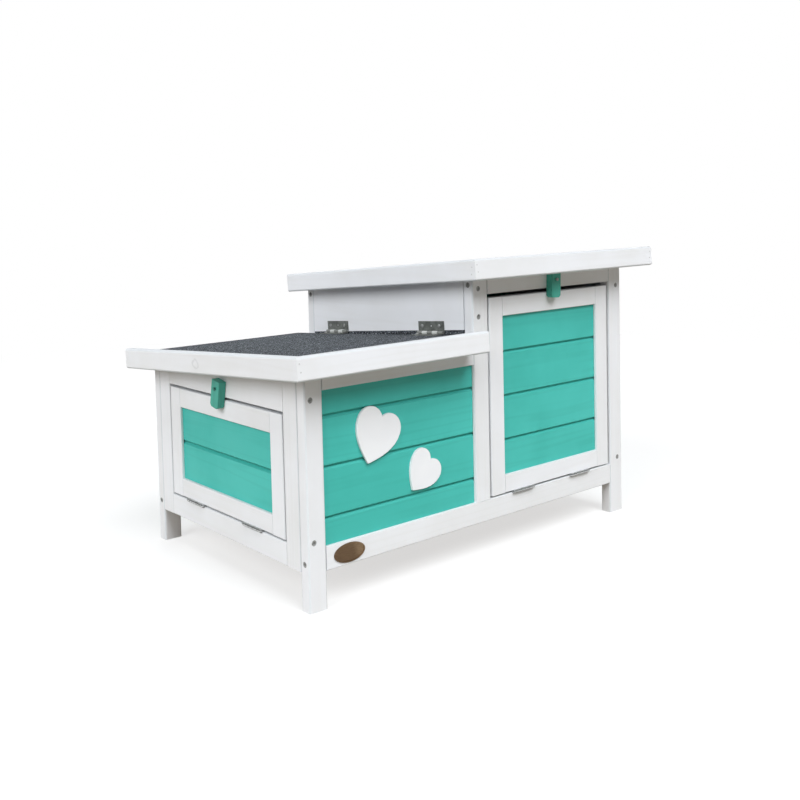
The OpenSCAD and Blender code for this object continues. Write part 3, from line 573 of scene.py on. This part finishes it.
def screws_of(node):
    """The middle of each screw's head, the way it faces, its radius and the screw's length."""
    shape = bmesh.new()
    shape.from_mesh(NODES[node].data)
    bmesh.ops.remove_doubles(shape, verts=shape.verts, dist=JOIN_REACH)
    screws = []
    for points in islands(shape):
        middle = (points.max(0) + points.min(0)) / 2
        _, _, axes = np.linalg.svd(points - points.mean(0))
        axis = axes[0]
        along = (points - middle) @ axis
        across = np.linalg.norm(points - middle - along[:, None] * axis, axis=1)
        if across[along > 0].max() < across[along < 0].max():
            axis, along = -axis, -along
        head = points[along > along.max() - HEAD_REACH]
        screws.append((Vector(head.mean(0)), Vector(axis), float(across.max()),
                       float(np.ptp(along))))
    shape.free()
    return screws


# A screw's head, in shares of its radius
HEAD_AROUND = 48
HEAD_RINGS = 14
RECESS_ARM = 0.62
RECESS_WIDTH = 0.17
RECESS_DEPTH = 0.42
RECESS_TAPER = 0.6
# Radius and height of its lower edge and of the shank's upper end, and the shank's radius
HEAD_EDGE = (1.0, -0.12)
SHANK_TOP = (0.55, -0.55)
SHANK_R = 0.5
# Heights of the dome
NEARLY_FLAT = 0.05
ROUND = 0.30


def recess_depth(x, y):
    """Depth of the cross recess at a place on a head of radius 1."""
    arm = min(max(abs(x), abs(y)) / RECESS_ARM, 1.0)
    inside = min(abs(x), abs(y)) < RECESS_WIDTH and arm < 1
    return RECESS_DEPTH * (1 - RECESS_TAPER * arm ** 2) if inside else 0.0


def screw_head(shape, centre, axis, radius, length, dome, turn):
    """A domed head with a cross recess, and a shank below it."""
    basis = axis.to_track_quat("Z", "X").to_matrix().to_4x4()
    placed = Matrix.Translation(centre) @ basis @ Matrix.Rotation(turn, 4, "Z")
    top = []
    for i in range(HEAD_RINGS + 1):
        r = i / HEAD_RINGS
        ring = []
        for k in range(HEAD_AROUND if i else 1):
            a = 2 * math.pi * k / HEAD_AROUND
            x, y = r * math.cos(a), r * math.sin(a)
            height = dome * radius * (1 - r * r) - recess_depth(x, y) * radius
            ring.append(shape.verts.new(placed @ Vector((x * radius, y * radius, height))))
        top.append(ring)
    for k, n in neighbours(HEAD_AROUND):
        shape.faces.new((top[0][0], top[1][k], top[1][n]))
    for inner, outer in zip(top[1:], top[2:]):
        for k, n in neighbours(HEAD_AROUND):
            shape.faces.new((inner[k], outer[k], outer[n], inner[n]))
    above = top[-1]
    for r, z in (HEAD_EDGE, SHANK_TOP, (SHANK_R, -length / radius)):
        ring = circle(shape, placed, r * radius, z * radius, HEAD_AROUND)
        for k, n in neighbours(HEAD_AROUND):
            shape.faces.new((above[k], ring[k], ring[n], above[n]))
        above = ring
    shape.faces.new(list(reversed(above)))


def make_screws(node, dome, material, share=1.0):
    """Finer screws in place of a node's own, each turned at random; share scales their radius."""
    shape = bmesh.new()
    for centre, axis, radius, length in screws_of(node):
        turn = random.uniform(0, math.pi / 2)
        screw_head(shape, centre, axis, share * radius, length, dome, turn)
    body = "lid" if node.startswith("lid") else "house"
    piece = new_piece("detailed_" + node, shape, material, body)
    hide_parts(node)


def screw_metal(name, colours, roughness, metallic):
    return metal(name, colours, roughness, scale=300.0, metallic=metallic)


def make_all_screws():
    make_screws("frame_screws", NEARLY_FLAT,
                screw_metal("screw_steel", FRAME_SCREWS, 0.5, 0.5))
    make_screws("wall_leaf_screws", ROUND,
                screw_metal("leaf_screw_steel", WALL_LEAF_SCREWS, 0.45, 0.4), share=1.2)
    make_screws("lid_leaf_screws", ROUND,
                screw_metal("silver_screws", LID_LEAF_SCREWS, 0.4, 0.6))
    make_screws("latch_screws", ROUND, latch_screw_metal("latch_screw_metal"), share=0.62)


class RoofFrame:
    """A roof's directions, from its board: v runs down to the back, w stands on the board."""

    def __init__(self, board):
        points = [v.co for v in NODES[board].data.vertices]
        front = max(points, key=lambda p: p.z)
        back = max(points, key=lambda p: p.y)
        slope = math.atan2(front.z - back.z, back.y - front.y)
        self.origin = front.copy()
        self.v = Vector((0, math.cos(slope), -math.sin(slope)))
        self.w = Vector((0, math.sin(slope), math.cos(slope)))

    def extent(self, node):
        rows = [(p.co.x, (p.co - self.origin) @ self.v, (p.co - self.origin) @ self.w)
                for p in NODES[node].data.vertices]
        return [(min(c), max(c)) for c in zip(*rows)]

    def point(self, x, v, w):
        p = self.origin + v * self.v + w * self.w
        return Vector((x, p.y, p.z))


NAIL_R = 1.1 * MM
NAIL_AROUND = 20
# Radius and height of the rings of a nail's head, in shares of its radius
NAIL_RINGS = ((1.0, -0.3), (1.0, 0.06), (0.8, 0.14), (0.35, 0.10))
# A corner's two nails: distance from the corner, and share of the fascia's height from its top
NAIL_PAIR = ((4.0 * MM, 0.27), (5.5 * MM, 0.60))
# On a side fascia they sit this much further from the corner and lower
SIDE_FURTHER = 2 * MM
SIDE_LOWER = 0.1


def nail(shape, centre, facing):
    """A small flat nail head, just proud of the board."""
    placed = Matrix.Translation(centre) @ facing.to_track_quat("Z", "X").to_matrix().to_4x4()
    rings = [circle(shape, placed, r * NAIL_R, z * NAIL_R, NAIL_AROUND) for r, z in NAIL_RINGS]
    for below, above in zip(rings, rings[1:]):
        for k, n in neighbours(NAIL_AROUND):
            shape.faces.new((below[k], below[n], above[n], above[k]))
    shape.faces.new(list(reversed(rings[0])))
    shape.faces.new(rings[-1])


def make_nails(prefix, board, body, corners, side_fascias, material):
    """Pairs of nails in the front fascia's corners and in the front ends of the side fascias."""
    roof = RoofFrame(board)
    shape = bmesh.new()
    (x0, x1), (v0, _), (w0, w1) = roof.extent(prefix + "_front_fascia")
    for end in corners:
        for along, down in NAIL_PAIR:
            x = x0 + along if end < 0 else x1 - along
            nail(shape, roof.point(x, v0, w1 - down * (w1 - w0)), -roof.v)
    for name, facing in side_fascias:
        (x0, x1), (v0, _), (w0, w1) = roof.extent(name)
        for along, down in NAIL_PAIR:
            x = x0 if facing < 0 else x1
            w = w1 - (down + SIDE_LOWER) * (w1 - w0)
            nail(shape, roof.point(x, v0 + along + SIDE_FURTHER, w), Vector((facing, 0, 0)))
    new_piece(prefix + "_nails", shape, material, body)


STRIP_T = 4 * MM
STRIP_H = 12 * MM
STRIP_SETBACK = 0.5 * MM


def make_wall_strip(name, wall, material):
    """A felt strip under the sloping lower edge of a wall, set back a little from its left face."""
    points = [v.co for v in NODES[wall].data.vertices]
    left = min(p.x for p in points) + STRIP_SETBACK
    right = left + STRIP_T
    shape = bmesh.new()
    rings = []
    for y in (min(p.y for p in points), max(p.y for p in points)):
        edge = min(p.z for p in points if abs(p.y - y) < MM)
        corners = ((left, edge), (right, edge), (right, edge - STRIP_H), (left, edge - STRIP_H))
        rings.append([shape.verts.new((x, y, z)) for x, z in corners])
    front, back = rings
    for k, n in neighbours(len(front)):
        shape.faces.new((front[k], front[n], back[n], back[k]))
    shape.faces.new(list(reversed(front)))
    shape.faces.new(back)
    bmesh.ops.recalc_face_normals(shape, faces=shape.faces)
    new_piece(name, shape, material, "house")


# Surroundings
PURE_WHITE = (1, 1, 1, 1)
FLOOR_RADIUS = 6.0
FLOOR_SIDES = 96
FLOOR_PALE = (0.88, 0.88, 0.88, 1.0)
FLOOR_GLOW = 0.65
FLOOR_BOUNCE = (0.30, 0.265, 0.215, 1.0)
# The floor's shadows fade into the background between these distances from its middle
FADE_FROM = 0.6
FADE_TO = 2.4
SKY_TINT = (0.90, 0.95, 1.0, 1.0)
SKY_LOW = 0.20
SKY_HIGH = 0.02
LAMP_ANGLE = 40
DAYLIGHT = (0.96, 0.985, 1.0)
# Name, azimuth and elevation in degrees, level, and whether the lamp adds sheen
LAMPS = (("front_key", 267, 54, 1.09, True),
         ("left_key", 189, 32, 0.77, True),
         ("back_fill", 60, 8, 0.75, False))


def coloured(tree, kind, colour):
    """A surface, glow or sky shader of one colour."""
    node = tree.nodes.new(kind)
    node.inputs["Color"].default_value = colour
    return node.outputs[0]


def mix_shaders(tree, factor, first, second):
    """The first shader where the factor is 0, the second where it is 1."""
    node = tree.nodes.new("ShaderNodeMixShader")
    for socket, value in zip(node.inputs, (factor, first, second)):
        tree.links.new(value, socket)
    return node.outputs[0]


def seen_directly(tree):
    """1 for the rays that show the surroundings to the eye, 0 for those that light the object."""
    path = tree.nodes.new("ShaderNodeLightPath")
    first = tree.nodes.new("ShaderNodeMath")
    second = tree.nodes.new("ShaderNodeMath")
    first.operation = second.operation = "MAXIMUM"
    tree.links.new(path.outputs["Is Camera Ray"], first.inputs[0])
    tree.links.new(path.outputs["Is Glossy Ray"], first.inputs[1])
    tree.links.new(first.outputs[0], second.inputs[0])
    tree.links.new(path.outputs["Is Transmission Ray"], second.inputs[1])
    return second.outputs[0]


def make_floor():
    """A round floor that fades into the background and throws warm light up at the object."""
    shape = bmesh.new()
    bmesh.ops.create_circle(shape, cap_ends=True, radius=FLOOR_RADIUS, segments=FLOOR_SIDES)
    mesh = mesh_of("floor", shape)
    floor = bpy.data.objects.new("floor", mesh)
    bpy.context.collection.objects.link(floor)
    material = bpy.data.materials.new("floor")
    material.use_nodes = True
    tree = material.node_tree
    tree.nodes.remove(tree.nodes["Principled BSDF"])
    pale = coloured(tree, "ShaderNodeBsdfDiffuse", FLOOR_PALE)
    bounce = coloured(tree, "ShaderNodeBsdfDiffuse", FLOOR_BOUNCE)
    glow = coloured(tree, "ShaderNodeEmission", PURE_WHITE)
    place = tree.nodes.new("ShaderNodeTexCoord")
    reach = tree.nodes.new("ShaderNodeVectorMath")
    reach.operation = "LENGTH"
    tree.links.new(place.outputs["Object"], reach.inputs[0])
    fade = tree.nodes.new("ShaderNodeMapRange")
    fade.interpolation_type = "SMOOTHSTEP"
    for name, value in (("From Min", FADE_FROM), ("From Max", FADE_TO), ("To Min", FLOOR_GLOW)):
        fade.inputs[name].default_value = value
    tree.links.new(reach.outputs["Value"], fade.inputs["Value"])
    shown = mix_shaders(tree, fade.outputs["Result"], pale, glow)
    chosen = mix_shaders(tree, seen_directly(tree), bounce, shown)
    tree.links.new(chosen, tree.nodes["Material Output"].inputs["Surface"])
    mesh.materials.append(material)


def make_world():
    """A faint sky that is brighter towards the horizon; the camera sees it white."""
    world = bpy.data.worlds.new("soft_sky")
    bpy.context.scene.world = world
    world.use_nodes = True
    tree = world.node_tree
    sky = tree.nodes["Background"]
    sky.inputs["Color"].default_value = SKY_TINT
    place = tree.nodes.new("ShaderNodeTexCoord")
    parts = tree.nodes.new("ShaderNodeSeparateXYZ")
    tree.links.new(place.outputs["Generated"], parts.inputs[0])
    rise = tree.nodes.new("ShaderNodeMapRange")
    for name, value in (("From Min", 0.0), ("From Max", 1.0), ("To Min", SKY_LOW),
                        ("To Max", SKY_HIGH)):
        rise.inputs[name].default_value = value
    tree.links.new(parts.outputs[2], rise.inputs["Value"])
    tree.links.new(rise.outputs["Result"], sky.inputs["Strength"])
    white = coloured(tree, "ShaderNodeBackground", PURE_WHITE)
    path = tree.nodes.new("ShaderNodeLightPath")
    chosen = mix_shaders(tree, path.outputs["Is Camera Ray"], sky.outputs[0], white)
    tree.links.new(chosen, tree.nodes["World Output"].inputs["Surface"])


def make_lamp(name, azimuth, elevation, level, sheen):
    """A broad, far lamp; a white face square to it gets the level as its brightness."""
    data = bpy.data.lights.new(name, "SUN")
    data.angle = math.radians(LAMP_ANGLE)
    data.energy = level * math.pi
    data.color = DAYLIGHT
    lamp = bpy.data.objects.new(name, data)
    bpy.context.collection.objects.link(lamp)
    a, e = math.radians(azimuth), math.radians(elevation)
    way = Vector((math.cos(a) * math.cos(e), math.sin(a) * math.cos(e), math.sin(e)))
    lamp.location = way
    lamp.rotation_euler = way.to_track_quat("Z", "Y").to_euler()
    lamp.visible_glossy = sheen


make_camera()
make_floor()
make_world()
for lamp in LAMPS:
    make_lamp(*lamp)
bpy.context.scene.view_settings.view_transform = "Standard"
dress_timber()
dress_hardware()
felt = roofing_felt("roofing_felt")
dress(["lid_felt", "tall_roof_felt"], felt)
make_all_screws()
nail_steel = screw_metal("nail_steel", NAILS, 0.5, 0.3)
make_nails("lid", "lid_board", "lid", (-1,), (), nail_steel)
make_nails("tall", "tall_roof_board", "house", (-1, 1), (("tall_left_fascia", -1),), nail_steel)
make_wall_strip("step_wall_felt_strip", "step_wall", felt)
